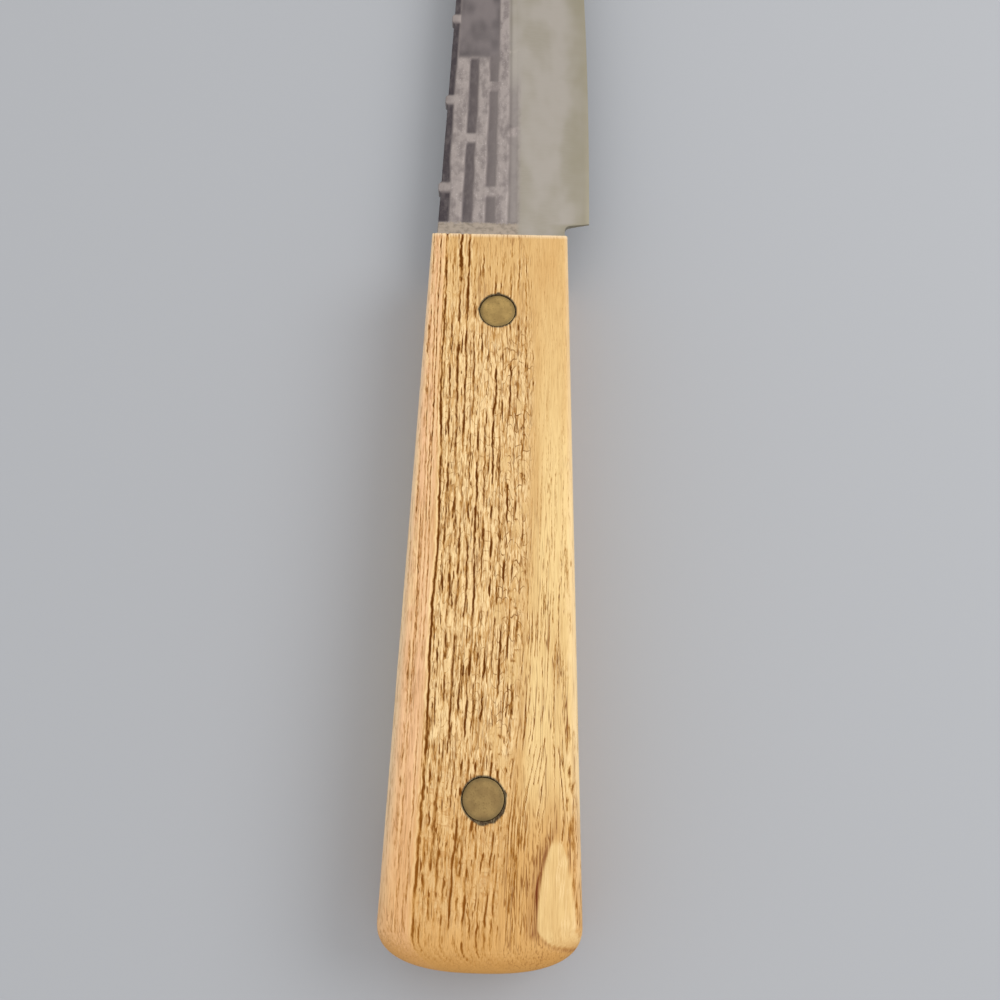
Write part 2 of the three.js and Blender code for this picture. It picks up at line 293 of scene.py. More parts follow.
# Growth lines: the two sides that each kind lies between, and its look. Lengths in mm.
GROWTH_LINES = dict(
    spine=dict(sides=(0, 1), count=12, dash=12, fade=(0.1, 0.6), dark=0.85, width=0.12, wander=0.25),
    rough=dict(sides=(1, 2), count=12, dash=3.2, fade=(0.26, 0.56), dark=1.25, width=0.16, wander=0.4),
    short=dict(sides=(1, 2), count=34, dash=2.8, fade=(0.5, 0.7), dark=0.85, width=0.11, wander=0.3),
    tick=dict(sides=(1, 2), count=40, dash=1.3, fade=(0.55, 0.75), dark=0.8, width=0.1, wander=0.4),
    pale=dict(sides=(2, 3), count=34, dash=5, fade=(0.42, 0.58), dark=0.6, width=0.08, wander=0.18),
)
LINE_WINDOW = np.arange(-14, 15)  # columns of the map that one growth line can reach
LINE_JITTER = 0.35  # how far a line may lie off its even place, in spaces between lines
RIM_SPREAD = 2.2  # width of a line with its painted highlight rims, in widths of the line
RAGGED_LENGTH = 0.9  # lengths of the noises along a line
STEADY_LENGTH = 2.2
SLOW_LENGTH = 17
QUICK_LENGTH = 2.6
KINK_LENGTH = 0.8
SWELL_LENGTH = 1.6
LONG_LINES = (2, 3)  # lines of the rough strip that run unbroken from the handle's front
LONG_LINE_SWELL = 1.3
BLOT_Y = -7  # where the first of them widens to a blot
BLOT_LENGTH = 3
FRONT_SHARE = dict(rough=0.7, short=0.9, tick=0.2)  # how much of the rough strip's lines is left in front
LAYER_WAVER = 0.45  # how far the growth layers of the rough strip wander sideways, in layers
LAYER_WIDTH = 1.3

# Each scale: the sides of its rough strip at some stations along the handle, whether it shows the pale
# drop, how it is turned about the knife's length, and where its fine grain lies in the finish's noises
STATIONS = (0, 30, 60, 90, HANDLE_LENGTH)
FIGURES = dict(
    right=dict(
        seed=11,
        left=(-9.5, -9.3, -8.8, -9.0, -9.7),
        right=(6.2, 6.7, 6.3, 5.2, 2.2),
        drop=True,
        turn=0,
        offset=(0, 0, 0),
    ),
    left=dict(
        seed=47,
        left=(-6.2, -6.9, -7.6, -8.1, -8.6),
        right=(8.6, 8.2, 7.6, 7.9, 8.8),
        drop=False,
        turn=math.pi,
        offset=(7.3, 4.1, 2.7),
    ),
)

# Pale drop, where a growth ring is cut through near the butt
DROP_X = 11.1
DROP_TOP = -104.6
DROP_LENGTH = 13
DROP_HALF_WIDTH = 2.95
DROP_BLUNTNESS = 0.65
DROP_BOTTOM = -120.3
DROP_PART = 2.2  # how far the growth lines give way beside the drop
DROP_PART_OFFSET = 1.5
DROP_PART_REACH = 4

# Factors that change along the handle: each from its value at one y to its value at another
CHANGES = dict(
    pale_lines=((-25, 0.45), (-88, 1.5)),
    spine_lines=((-68, 1.1), (-95, 0.75)),
    long_lines=((-46, 0), (-34, 1)),
    line_start=((0, 0), (-7, 1)),
    line_front=((-12, 0), (-28, 1)),
    line_breaks=((-88, 0), (-100, 1)),
    drop_part=((-86, 0), (-106, 1)),
    seam_start=((-98, 0), (-108, 1)),
    seam_depth=((-106, 0.7), (-113, 1.3)),
    rough_end=((-121, 0), (-115, 1)),
    woven=((-62, 1), (-80, 0.5)),
    butt=((-117, 0), (-121, 1)),
    pale_front=((-4, 0.1), (-56, 1)),
    pale_end=((-94, 1), (-106, 0.2)),
    streaks=((-40, 0.2), (-92, 1)),
    strip_streaks=((-90, 0.6), (-108, 0.35)),
    amber=((-82, 0), (-116, 1)),
    amber_gap=((-106, 0), (-98, 0.7)),
    amber_side=((-101, 0), (-108, 1)),
    worn_lit_sides=((-HANDLE_LENGTH, 0), (-100, 1)),
)


def change(name, y):
    """One of the factors that change along the handle."""
    (start, low), (end, high) = CHANGES[name]
    return blend(low, high, smooth(start, end, y))


def strip_sides(figure, y):
    return [np.interp(-y, STATIONS, figure[side]) for side in ("left", "right")]


def drop_half(y):
    """Half width of the smooth pale drop."""
    fall = np.clip((DROP_TOP - y) / DROP_LENGTH, 0, 1)
    return DROP_HALF_WIDTH * np.sin(fall * math.pi / 2) ** DROP_BLUNTNESS


def line_darkness(kind, index, seed, rank):
    """How dark one growth line is, from the butt to the front."""
    style = GROWTH_LINES[kind]
    dashes = smooth(*style["fade"], waver(seed, GRAIN_Y, style["dash"]))
    ragged = blend(0.35, 1, waver(seed + 1, GRAIN_Y, RAGGED_LENGTH))
    dark = style["dark"] * blend(0.6, 1, rank) * dashes * ragged
    if kind in ("pale", "spine"):
        return dark * change(f"{kind}_lines", GRAIN_Y)
    steady = blend(0.2, 1, waver(seed + 1, GRAIN_Y, STEADY_LENGTH))
    if kind == "rough" and index == 0:
        return np.maximum(dark, steady)
    if kind == "rough" and index in LONG_LINES:
        return np.maximum(dark, steady * change("long_lines", GRAIN_Y))
    broken = blend(0.3, 1.05, smooth(0.3, 0.55, waver(seed + 2, GRAIN_Y, STEADY_LENGTH)))
    dark = dark * blend(1, broken, change("line_breaks", GRAIN_Y))
    in_front = blend(FRONT_SHARE[kind], 1, change("line_front", GRAIN_Y))
    return dark * change("line_start", GRAIN_Y) * in_front


def part_at_drop(path):
    """A growth line's path, bent to pass beside the drop."""
    aside = path - DROP_X + DROP_PART_OFFSET
    return path + DROP_PART * change("drop_part", GRAIN_Y) * np.tanh(aside) * hump(aside, DROP_PART_REACH)


def layers_across(figure, x, y):
    """How many growth layers lie between the rough strip's left side and a place."""
    left, right = strip_sides(figure, y)
    seed = figure["seed"] + 6
    sway = noise(seed, x, y, (3, 14)) + 0.4 * noise(seed + 1, x, y, (1.6, 4)) - 0.7
    return (x - left) / (right - left) * GROWTH_LINES["rough"]["count"] + LAYER_WAVER * sway


def growth_lines(figure, sides):
    """Path, darkness and width of each growth line, row by row."""
    rng = np.random.default_rng(figure["seed"])
    for kind, style in GROWTH_LINES.items():
        inner, outer = (sides[side] for side in style["sides"])
        for index in range(style["count"]):
            seed = int(rng.integers(1 << 30))
            fixed = kind == "rough" and index in (0, *LONG_LINES)
            jitter = rng.uniform(-LINE_JITTER, LINE_JITTER) * (not fixed)
            path = blend(inner, outer, (index + jitter) / style["count"])
            if kind == "rough":
                off_layer = index - layers_across(figure, path, GRAIN_Y)
                path = path + off_layer * (outer - inner) / style["count"]
            else:
                path = path + 2 * style["wander"] * (waver(seed, GRAIN_Y, SLOW_LENGTH, track=2) - 0.5)
            quick = waver(seed, GRAIN_Y, QUICK_LENGTH, track=4) - 0.5
            kink = waver(seed, GRAIN_Y, KINK_LENGTH, track=8) - 0.5
            path = path + style["wander"] * (0.8 * quick + 0.7 * kink)
            if figure["drop"]:
                path = part_at_drop(path)
            width = style["width"] * blend(0.6, 1.6, waver(seed, GRAIN_Y, SWELL_LENGTH, track=6))
            if fixed:
                width = width * LONG_LINE_SWELL
            if kind == "rough" and index == LONG_LINES[0]:
                width = width * (1 + hump(GRAIN_Y - BLOT_Y, BLOT_LENGTH))
            yield path, line_darkness(kind, index, seed, rng.random()), width


def paint_lines(figure, sides):
    """Maps of the growth lines' darkness and of the painted highlight rims beside them."""
    lines = np.zeros((len(GRAIN_Y), len(GRAIN_X)))
    highlight_rims = np.zeros(lines.shape)
    rows = np.arange(len(GRAIN_Y))[:, None]
    for path, dark, width in growth_lines(figure, sides):
        middle = np.searchsorted(GRAIN_X, path)[:, None]
        columns = np.clip(middle + LINE_WINDOW, 0, len(GRAIN_X) - 1)
        offset = GRAIN_X[columns] - path[:, None]
        for chart, spread in ((lines, 1), (highlight_rims, RIM_SPREAD)):
            stroke = dark[:, None] * hump(offset, spread * width[:, None])
            chart[rows, columns] = np.maximum(chart[rows, columns], stroke)
    return lines, np.clip(highlight_rims - 1.4 * lines, 0, 1)


def flaked_plates(figure, x, y):
    """Outlines and insides of the small plates flaked along the rough strip's right side."""
    seed = figure["seed"] + 9
    rng = np.random.default_rng(seed)
    wobble = 0.8 * (noise(seed, x, y, (1.1, 1.4)) - 0.5) + 0.5 * (noise(seed + 2, x, y, (0.4, 0.5)) - 0.5)
    kept = smooth(0.3, 0.7, noise(seed + 1, x, y, (0.8, 1.1)))
    outline = np.zeros(x.shape)
    inside = np.zeros(x.shape)
    for middle_y in rng.uniform(*PLATE_RANGE, PLATE_COUNT):
        half_wide = rng.uniform(0.6, 1.1)
        half_long = rng.uniform(0.7, 2.3)
        middle_x = strip_sides(figure, middle_y)[1] - half_wide - rng.exponential(1.2)
        beyond = np.maximum(np.abs(x - middle_x) - half_wide, np.abs(y - middle_y) - half_long) + wobble
        outline = np.maximum(outline, rng.uniform(0.35, 0.6) * hump(beyond, 0.12))
        inside = np.maximum(inside, smooth(0, -0.3, beyond))
    return outline * kept, inside


def pale_drop(seed, x, y):
    """The smooth drop's inside, its dark seam on the left, partly painted shade of its step, and the
    painted shade line of the thin crease below it.
    """
    half = drop_half(y)
    above = y - DROP_BOTTOM - 0.3 * np.minimum(x - DROP_X, 0) ** 2
    inside = smooth(0, 0.3, half - np.abs(x - DROP_X)) * smooth(-0.1, 0.2, above)
    inside = inside * smooth(0, -2, y - DROP_TOP)
    along = change("seam_start", y) * smooth(0.5, 2, y - DROP_BOTTOM)
    uneven = blend(0.5, 1, noise(seed, x, y, (0.22, 2.4))) * change("seam_depth", y)
    left_side = x - DROP_X + half
    # the seam is a dark streak, partly painted shade along the drop's step
    seam = along * uneven * (1.2 * hump(left_side + 0.25, 0.35) + 0.6 * hump(left_side + 1.1, 0.45))
    # painted shade: a dark line along the crease below the drop
    crease = 0.6 * hump(above + 0.2, 0.25) * smooth(0.3, -0.2, np.abs(x - DROP_X) - DROP_HALF_WIDTH)
    return inside, np.maximum(seam, crease)


def wood_figure(figure):
    """Maps of the wood's growth lines, zones and relief over the handle, rows by columns."""
    seed = figure["seed"]
    sides = strip_sides(figure, GRAIN_Y)
    lines, highlight_rims = paint_lines(figure, (-GRAIN_REACH + 1, *sides, GRAIN_REACH - 1))
    left, right = (side[:, None] for side in sides)
    x, y = np.meshgrid(GRAIN_X, GRAIN_Y)

    strip = smooth(0, 0.4, x - left) * smooth(-0.8, 1.4, right - x)
    outline, plate = flaked_plates(figure, x, y)
    rough = strip * smooth(*ROUGH_FADE, y - ROUGH_START + ROUGH_SLANT * x)
    rough = rough * (1 - 0.6 * plate) * change("rough_end", y)
    woven = rough * smooth(-7, -1.5, x - right) * change("woven", y)
    butt = change("butt", y)
    pore = np.maximum(lines * (1 - 0.7 * plate) * (1 - 0.15 * woven), outline * strip)
    pore = pore * (1 - 0.45 * butt)

    beside = smooth(-0.3, 2.2, x - right)
    pale = beside * change("pale_end", y) * change("pale_front", y)
    pale = np.maximum(pale, 0.4 * plate * strip)
    # The left strip, given streaks and tinted pink as painted shade of the side away from the lamp
    left_strip_shade_tint = smooth(0.3, -1.2, x - left)
    streaky = smooth(-0.3, 0.5, x - right) * change("streaks", y)
    streaky = np.maximum(np.maximum(streaky, 0.45 * left_strip_shade_tint), strip * change("strip_streaks", y))
    streaky = streaky * (1 - 0.4 * butt)
    amber = change("amber", y) * (1 - beside * change("amber_gap", y)) * (1 - 0.3 * left_strip_shade_tint)
    amber_side = change("amber_side", y) * blend(0.7, 0.4, smooth(-1, 1, x - DROP_X))
    amber = np.maximum(amber, beside * amber_side)
    stain = np.zeros(x.shape)
    if figure["drop"]:
        drop, stain = pale_drop(seed + 5, x, y)
        pore = pore * (1 - 0.95 * drop)
        pale = np.maximum(pale, 0.65 * drop)
        streaky = streaky * (1 - 0.9 * drop)
        amber = amber * (1 - drop)
    grit = GRIT_DEPTH * noise(seed + 3, x, y, GRIT_CELL)
    tuft = TUFT_DEPTH * noise(seed + 4, x, y, TUFT_CELL)
    return dict(
        pore=np.clip(pore, 0, 1),
        # painted highlight rims beside the growth lines
        highlight_rims=highlight_rims * (1 - plate) * (1 - butt),
        rough=rough,
        woven=woven,
        layer=LAYER_WIDTH * layers_across(figure, x, y),
        streaky=streaky,
        pale=pale,
        left_strip_shade_tint=left_strip_shade_tint,
        amber=amber,
        stain=np.clip(stain, 0, 1),
        relief=-PORE_DEPTH * np.maximum(pore, 0.7 * stain) - rough * (tuft + grit),
    )


def sample(chart, x, y):
    """A map's value at any points of the handle."""
    u = np.clip((x - GRAIN_X[0]) / GRAIN_STEP_X, 0, len(GRAIN_X) - LAST_CELL)
    v = np.clip((y - GRAIN_Y[0]) / GRAIN_STEP_Y, 0, len(GRAIN_Y) - LAST_CELL)
    column = u.astype(int)
    row = v.astype(int)
    near = blend(chart[row, column], chart[row, column + 1], u - column)
    far = blend(chart[row + 1, column], chart[row + 1, column + 1], u - column)
    return blend(near, far, v - row)


# Meshes
RIM_REACH = 1.5  # how far round a hole its rim is looked for, in radii of the hole


def grid_faces(rows, columns):
    """Quads of a grid whose points run along the columns, row after row."""
    corner = (np.arange(rows - 1)[:, None] * columns + np.arange(columns - 1)).ravel()
    return np.stack([corner, corner + 1, corner + columns + 1, corner + columns], axis=1)


def around(points, centre_y):
    """Distance and angle of points from a rivet's axis."""
    x = points[:, 0]
    y = points[:, 1] - centre_y
    return np.hypot(x, y), np.arctan2(y, x)


def open_hole(points, faces, centre_y, radius_at):
    """Drops the faces over a round hole and draws the rim's points on to it. Returns the faces left."""
    distance, angle = around(points, centre_y)
    rim = radius_at(angle)
    dropped = (distance < rim)[faces].any(axis=1)
    edge = np.intersect1d(faces[dropped], faces[~dropped])
    points[edge, 0] = rim[edge] * np.cos(angle[edge])
    points[edge, 1] = centre_y + rim[edge] * np.sin(angle[edge])
    return faces[~dropped]


def drawn(bm, edges, move):
    """Extrudes a loop of edges, moves its new points and returns the new loop."""
    made = bmesh.ops.extrude_edge_only(bm, edges=edges)["geom"]
    for point in made:
        if isinstance(point, bmesh.types.BMVert):
            point.co = move(point.co)
    return [edge for edge in made if isinstance(edge, bmesh.types.BMEdge) and edge.is_boundary]


def rim_of(bm, centre_y, radius):
    """Open edges round a rivet's hole."""
    return [
        edge for edge in bm.edges
        if edge.is_boundary
        and all(math.hypot(v.co.x, v.co.y - centre_y) < RIM_REACH * radius for v in edge.verts)
    ]


def mesh_with(name, points, faces, charts):
    """A mesh in knife millimetres that carries a float attribute for each chart."""
    mesh = bpy.data.meshes.new(name)
    mesh.from_pydata(points.tolist(), [], faces.tolist())
    for label, values in charts.items():
        layer = mesh.attributes.new(label, "FLOAT", "POINT")
        layer.data.foreach_set("value", np.asarray(values, np.float32).ravel())
    return mesh


@contextmanager
def editing(mesh):
    """Opens a mesh without its loose points, and writes it back with its faces turned outward."""
    bm = bmesh.new()
    bm.from_mesh(mesh)
    loose = [v for v in bm.verts if not v.link_faces]
    bmesh.ops.delete(bm, geom=loose, context="VERTS")
    yield bm
    bmesh.ops.recalc_face_normals(bm, faces=bm.faces)
    bm.to_mesh(mesh)
    bm.free()


def finish_piece(mesh, material, node, crease):
    """Places a mesh in the frame as the piece that stands for a node."""
    points = np.empty(len(mesh.vertices) * 3)
    mesh.vertices.foreach_get("co", points)
    mesh.vertices.foreach_set("co", place(points.reshape(-1, 3)).ravel())
    mesh.shade_smooth()
    mesh.set_sharp_from_angle(angle=math.radians(crease))
    mesh.materials.append(material)
    piece = add_object(mesh.name, mesh)
    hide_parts(node)
    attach(piece, "root")


# Handle scales
FLAT_COLUMNS = 232
SIDE_COLUMNS = 8
FRONT_ROWS = 4
MAIN_ROWS = 335
BUTT_ROWS = 14
BUTT_PASSES = 6
HALVINGS = 30
WALL_STEPS = 4
HOLE_GAP = 0.09  # width of the gap round a rivet's head, whose walls are painted dark as grime and shade
HOLE_GAP_DEPTH = 0.3
HOLE_FIT = 0.03
HOLE_CHIP = 0.25
CHIP_ANGLE = 0.26
HOLE_SHIFT = 0.26
HOLE_SHIFT_ANGLE = 0.85
HOLE_STAIN = 0.16
WEAR_AND_SHEEN_REACH = 0.9  # how far up the eased edges their wood is worn pale, with a painted highlight
WEAR_AND_SHEEN_ACROSS = (0, 8)  # over this stretch the wear and painted highlight fall from the spine's side to the edge's
FRONT_WEAR_AND_SHEEN = 0.55  # length of worn wood with a painted highlight along the front edge
FRONT_PALENESS = 0.95
WALL_WEAR_AND_SHEEN = 0.25  # share of that wear and painted highlight that is left on the walls below
WALL_STREAKS = 0.6


def scale_columns():
    """Each column's share of the flat face's half width, and how far it lies out in the round-over."""
    out = 1 - np.linspace(0, 1, SIDE_COLUMNS, endpoint=False) ** 2
    flat = np.linspace(-1, 1, FLAT_COLUMNS)
    share = np.concatenate([-np.ones(SIDE_COLUMNS), flat, np.ones(SIDE_COLUMNS)])
    reach = np.concatenate([-out, np.zeros(FLAT_COLUMNS), out[::-1]])
    return share, reach


def scale_plan():
    """The x and y of the face's grid, rows by columns, from the front to the butt."""
    share, reach = scale_columns()

    def across(y):
        return share * (half_width(y) - side_round(y)) + reach * side_round(y)

    end = np.full(len(share), -HANDLE_LENGTH)
    for _ in range(BUTT_PASSES):
        out = np.minimum(np.abs(across(end)) / half_width(end), 1)
        depth = 1 - (1 - out ** BUTT_SQUARENESS) ** (1 / BUTT_SQUARENESS)
        end = -HANDLE_LENGTH + BUTT_DEPTH * depth
    front = -FRONT_ROUND * np.linspace(0, 1, FRONT_ROWS, endpoint=False) ** 2
    main = np.linspace(0, 1, MAIN_ROWS)
    butt = (np.linspace(1, 0, BUTT_ROWS + 1)[1:]) ** 2
    y = np.vstack([
        np.repeat(front[:, None], len(share), axis=1),
        blend(-FRONT_ROUND, end + BUTT_ROUND, main[:, None]),
        end + BUTT_ROUND * butt[:, None],
    ])
    return across(y), y


def round_over(x, y):
    """How far each point lies into the flat face: 0 at the outline, 1 where the round-over has ended."""
    low = np.zeros(x.shape)
    high = np.ones(x.shape)
    for _ in range(HALVINGS):
        share = (low + high) / 2
        across = np.abs(x) / (half_width(y) - side_round(y) * share)
        along = np.maximum(0, BUTT_DEPTH - HANDLE_LENGTH + BUTT_ROUND * share - y) / BUTT_DEPTH
        outside = across ** BUTT_SQUARENESS * (along > 0) + along ** BUTT_SQUARENESS > 1
        outside |= across > 1
        high = np.where(outside, share, high)
        low = np.where(outside, low, share)
    return np.minimum(high, -y / FRONT_ROUND)


def face_normals(points):
    """Unit normals of a grid of points, rows by columns."""
    down, across = np.gradient(points, axis=(0, 1))
    normal = np.cross(across, down)
    normal *= np.sign(normal[..., 2:3] + 1e-12)
    return normal / np.maximum(np.linalg.norm(normal, axis=2, keepdims=True), 1e-9)


def hole_radius(index, seed):
    """A rivet hole's rim, chipped here and there; the rear one is bored a little off centre."""
    def radius(angle):
        chips = smooth(0.5, 1, noise(seed, angle + math.pi, 0.5, (CHIP_ANGLE, 1)))
        off = HOLE_SHIFT * index * np.maximum(0, np.cos(angle + HOLE_SHIFT_ANGLE)) ** 1.5
        return HEAD_RADIUS + HOLE_GAP + HOLE_CHIP * chips + off

    return radius


def scale_mesh(name, figure):
    """A scale as it lies on the upper side, closed, with its rivet holes bored through."""
    maps = wood_figure(figure)
    x, y = scale_plan()
    share = round_over(x, y)
    depth = ROUND_DEPTH * side_round(y) / SIDE_ROUND
    fall = depth * (1 - np.sqrt(1 - (1 - share) ** 2))
    points = np.stack([x, y, SCALE_OUTER - fall], axis=2)
    grain_x = x - BUTT_SLANT * fall * smooth(BUTT_DEPTH, 0, y + HANDLE_LENGTH)
    sink = sample(maps.pop("relief"), grain_x, y) * smooth(0, 0.25, share)
    points = points + face_normals(points) * sink[..., None]
    points[..., 0] = np.clip(points[..., 0], -half_width(y), half_width(y))
    points = points.reshape(-1, 3)
    faces = grid_faces(*x.shape)
    charts = {label: sample(chart, grain_x, y) for label, chart in maps.items()}
    charts["pore"] *= smooth(0, 0.5, share)
    # Worn pale edges, with a painted highlight along the eased sides and the front edge
    worn_lit_sides = smooth(WEAR_AND_SHEEN_REACH, 0, share) * change("worn_lit_sides", y)
    worn_lit_sides = worn_lit_sides * blend(0.85, 0.5, smooth(*WEAR_AND_SHEEN_ACROSS, x))
    worn_lit_front = FRONT_PALENESS * smooth(-2 * FRONT_WEAR_AND_SHEEN, -FRONT_WEAR_AND_SHEEN, y)
    charts["worn"] = np.maximum(worn_lit_sides, worn_lit_front)
    # Grime ring round each hole on the face; the bored walls are painted dark further on, as grime and
    # painted shade
    charts["soot_and_shade"] = np.zeros(len(points))
    for index, rivet in enumerate(RIVETS):
        radius_at = hole_radius(index, figure["seed"] + index)
        faces = open_hole(points, faces, rivet_y(rivet), radius_at)
        distance, angle = around(points, rivet_y(rivet))
        from_rim = np.maximum(distance - radius_at(angle), 0)
        charts["soot_and_shade"] = np.maximum(charts["soot_and_shade"], np.exp(-from_rim / HOLE_STAIN))
    mesh = mesh_with(name, points, faces, charts)
    with editing(mesh) as bm:
        close_scale(bm)
    return mesh


def close_scale(bm):
    """Adds a scale's side walls, inner face, counterbores and stem holes."""
    layers = bm.verts.layers.float
    face_points = set(bm.verts)
    for rivet in RIVETS:
        bore_rivet(bm, rivet_y(rivet))
    bored = set(bm.verts) - face_points
    outer = [
        edge for edge in bm.edges
        if edge.is_boundary and all(v in face_points for v in edge.verts)
    ]
    for step in range(WALL_STEPS):
        share = 1 / (WALL_STEPS - step)
        outer = drawn(bm, outer, lambda co: Vector((co.x, co.y, blend(co.z, SCALE_INNER, share))))
    for v in set(bm.verts) - face_points:
        for label in ("pore", "highlight_rims", "rough", "woven"):
            v[layers[label]] = 0
        v[layers["streaky"]] = WALL_STREAKS
        # the walls keep only a little of the wear and painted highlight
        v[layers["worn"]] *= WALL_WEAR_AND_SHEEN
        # bored walls: grime and painted shade in the holes
        v[layers["soot_and_shade"]] = 1 if v in bored else 0
    open_edges = [edge for edge in bm.edges if edge.is_boundary]
    bmesh.ops.triangle_fill(bm, use_beauty=True, edges=open_edges, normal=(0, 0, -1))


def bore_rivet(bm, centre_y):
    """Draws a hole's rim in to the head, down to its seat, in to the stem and on to the inner face."""
    fit = HEAD_RADIUS + HOLE_FIT
    seat = HEAD_OUTER - HEAD_THICKNESS - SEAT_GAP

    def ring(radius, level):
        def move(co):
            across = Vector((co.x, co.y - centre_y, 0)).normalized() * radius
            return Vector((across.x, centre_y + across.y, level))
        return move

    loop = rim_of(bm, centre_y, HEAD_RADIUS)
    for radius, level in (
        (fit, SCALE_OUTER - HOLE_GAP_DEPTH), (fit, seat), (STEM_RADIUS, seat), (STEM_RADIUS, SCALE_INNER),
    ):
        loop = drawn(bm, loop, ring(radius, level))


# Blade
FLAT_STEPS = 62
BEVEL_STEPS = 22
CORNER_EASE = 0.18
EDGE_EASE = 0.5
EDGE_TIP = 0.02
TIP_END = 0.05
TIP_POINT = 0.3  # share of the tip's thickness that is left at its very point
TIP_POINT_LENGTH = 12
PATTERN_ROW = 0.33
HEEL_ROW = 0.1
TANG_ROW = 3
HOLE_ROW = 0.3
HOLE_REACH = 4
ROW_MARGIN = 1  # between stretches of rows
POINT_LENGTH = 0.9
POINT_ROWS = 6
BUTT_STEPS = 14
BUTT_BEGIN = 0.16  # share of the butt's quarter turn at its first row
GROOVE_SOFT = 0.3
GROOVE_WAVER = 0.3  # how much a groove's sides wander
GROOVE_WAVE = 4
BRIDGE_SOFT = 0.45
FORGE_DENT = 0.045
DENT_CELL = (1.1, 2.4)
PIT_CELL = (0.45, 0.6)
PIT_SHARE = 0.4
SPINE_WAVER = 0.06
SPINE_WAVE = 2.5
SPINE_SEED = 71
INNER_SEED = 61  # of the first column's inner side; the next column has the next seed
OUTER_SEED = 65
FACE_SEEDS = {1: 81, -1: 91}  # of the upper and the lower face


def blade_rows():
    """Stations along the blade and tang, close together where there is detail."""
    angle = np.linspace(BUTT_BEGIN, 1, BUTT_STEPS) * math.pi / 2
    butt = -HANDLE_LENGTH + BUTT_DEPTH * (1 - np.cos(angle) ** (2 / BUTT_SQUARENESS))
    holes = [rivet_y(rivet) + np.arange(-HOLE_REACH, HOLE_REACH, HOLE_ROW) for rivet in RIVETS]
    fine = np.concatenate([*holes, np.arange(0, HEEL_Y + ROW_MARGIN, HEEL_ROW)])
    plain = np.arange(BUTT_DEPTH - HANDLE_LENGTH + ROW_MARGIN, 0, TANG_ROW)
    apart = np.abs(plain[:, None] - fine).min(axis=1) > HOLE_ROW
    pattern = np.arange(HEEL_Y + ROW_MARGIN, BLADE_LENGTH - ROW_MARGIN, PATTERN_ROW)
    point = BLADE_LENGTH - np.geomspace(POINT_LENGTH, TIP_END, POINT_ROWS)
    return np.sort(np.concatenate([butt, plain[apart], fine, pattern, point]))


def on_bridge(column, y):
    """1 on the plain bridges that break a column of grooves, 0 between them."""
    first = PATTERN_START + FIRST_BRIDGES[column]
    middles = np.arange(first, PATTERN_END, GROOVE_PERIODS[column])
    from_bridge = np.abs(y[..., None] - middles).min(axis=-1)
    return smooth(BRIDGE_SOFT, -BRIDGE_SOFT, from_bridge - BRIDGE_LENGTH / 2)


def column_sides(column, y):
    width = GROOVE_WIDTH * flat_width(y) / HEEL_FLAT_WIDTH
    pitch = (flat_width(y) - width) / (GROOVE_COLUMNS - 1)
    inner = spine_x(y) + column * pitch
    return inner, inner + width


def forged_pattern(x, y):
    """1 on the floors of the grooves and of the plain panel, 0 on the metal left between them."""
    sunk = np.zeros(x.shape)
    patterned = between(PATTERN_START, PATTERN_END, y, BRIDGE_SOFT)
    for column in range(GROOVE_COLUMNS):
        inner, outer = column_sides(column, y)
        inner = inner + GROOVE_WAVER * (waver(INNER_SEED + column, y, GROOVE_WAVE) - 0.5)
        outer = outer + GROOVE_WAVER * (waver(OUTER_SEED + column, y, GROOVE_WAVE) - 0.5)
        if column == 0:
            inner = inner - GROOVE_WIDTH
            outer = outer - FIRST_COLUMN_TAPER * smooth(PATTERN_START, FIRST_TAPER_END, y)
        groove = between(inner, outer, x, GROOVE_SOFT) * (1 - on_bridge(column, y)) * patterned
        sunk = np.maximum(sunk, groove)
    start = PATTERN_START + PANEL_OFFSET
    panel_low = column_sides(0, y)[1] - GROOVE_SOFT
    panel_high = column_sides(PANEL_COLUMNS - 1, y)[1]
    panel = between(panel_low, panel_high, x, GROOVE_SOFT)
    panel = panel * between(start, start + PANEL_LENGTH, y, PANEL_SOFT)
    from_last = x - column_sides(GROOVE_COLUMNS - 1, y)[0]
    ground = smooth(-GROOVE_SOFT, GROOVE_SOFT, from_last) * smooth(*LAST_COLUMN_FADE, y)
    # painted shadow: a dark line where the metal steps down into the last column
    step = hump(from_last - GROOVE_SOFT, GROOVE_SOFT) * patterned
    return np.maximum(sunk, panel), panel, ground, step


def blade_plan():
    """The x of the blade's grid, the rows' y and each point's place across: 0 to 1 flat, 1 to 2 bevel."""
    y = blade_rows()
    spine = np.where(y < 0, -half_width(y) * butt_share(y), spine_x(y))
    uneven = SPINE_WAVER * waver(SPINE_SEED, y, SPINE_WAVE) * smooth(0, PATTERN_START, y)
    spine = spine + uneven - SPINE_BUMP * on_bridge(0, y)
    heel_side = np.interp(y, HEEL_CURVE[:, 1], HEEL_CURVE[:, 0])
    edge = np.where(y < HEEL_Y, heel_side, edge_x(y))
    edge = np.where(y < 0, half_width(y) * butt_share(y), edge)
    grind = spine_x(np.maximum(y, 0)) + flat_width(y)
    front_share = (grind[np.searchsorted(y, 0)] + half_width(0)) / (2 * half_width(0))
    grind = np.where(y < 0, blend(spine, edge, front_share), grind)
    grind = np.minimum(grind, edge - (edge - spine) * 0.1)
    ease = np.minimum(CORNER_EASE, (edge - spine) * 0.05)
    edge_ease = np.minimum(EDGE_EASE, (edge - grind) * 0.2)
    flat = np.linspace(0, 1, FLAT_STEPS)
    bevel = np.linspace(0, 1, BEVEL_STEPS)[1:]
    x = np.hstack([
        spine[:, None],
        blend((spine + ease)[:, None], grind[:, None], flat),
        blend(grind[:, None], (edge - edge_ease)[:, None], bevel),
        edge[:, None],
    ])
    across = np.concatenate([[0], flat, 1 + bevel * 0.97, [2]])
    return x, y, np.broadcast_to(across, x.shape)


